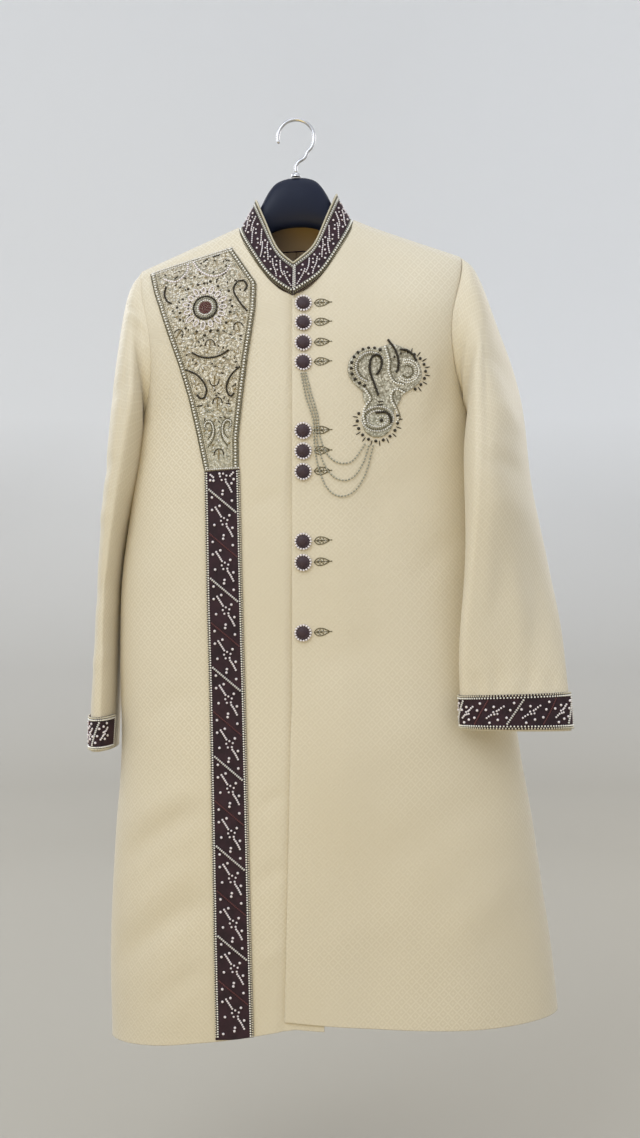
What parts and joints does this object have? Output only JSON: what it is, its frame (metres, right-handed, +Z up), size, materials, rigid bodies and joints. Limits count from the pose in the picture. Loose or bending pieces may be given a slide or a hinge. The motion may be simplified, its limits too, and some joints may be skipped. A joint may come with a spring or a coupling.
{
  "type": "sherwani coat on a broad hanger",
  "caption": "Knee-length stand-collar coat in pale brocade with velvet trims, beaded shoulder panel, chest motif and hanging bead chains, hung buttoned on a broad-shouldered hanger.",
  "frame": {"origin": "inner crown of the hanger's hook, where it rests on a rail", "axes": "+Z up, -Y out of the coat's front, +X to the wearer's left"},
  "size_m": [0.6338, 0.2239, 1.228],
  "materials": {
    "ivory_brocade": "satin",
    "maroon_velvet": "velvet",
    "zardozi": "metal thread and bead embroidery",
    "silver_beads": "silvered glass beads",
    "covered_button": "satin over a metal shell",
    "navy_plastic": "semi-gloss",
    "hook_steel": "brushed"
  },
  "bodies": {
    "root": {"front_left": "ivory_brocade", "front_right": "ivory_brocade", "back_left": "ivory_brocade", "back_right": "ivory_brocade", "top_sleeve_left": "ivory_brocade", "under_sleeve_left": "ivory_brocade", "top_sleeve_right": "ivory_brocade", "under_sleeve_right": "ivory_brocade", "collar": "maroon_velvet", "cuff_band_left": "maroon_velvet", "cuff_band_right": "maroon_velvet", "velvet_strip": "maroon_velvet", "shoulder_panel": "zardozi", "paisley_motif": "silver_beads", "chain_short": "silver_beads", "chain_middle": "silver_beads", "chain_long": "silver_beads", "button_1": "covered_button", "button_2": "covered_button", "button_3": "covered_button", "button_4": "covered_button", "button_5": "covered_button", "button_6": "covered_button", "button_7": "covered_button", "button_8": "covered_button", "button_9": "covered_button", "button_10": "covered_button", "hanger_body": "navy_plastic", "hanger_ferrule": "hook_steel", "hanger_hook": "hook_steel"}
  },
  "joints": []
}
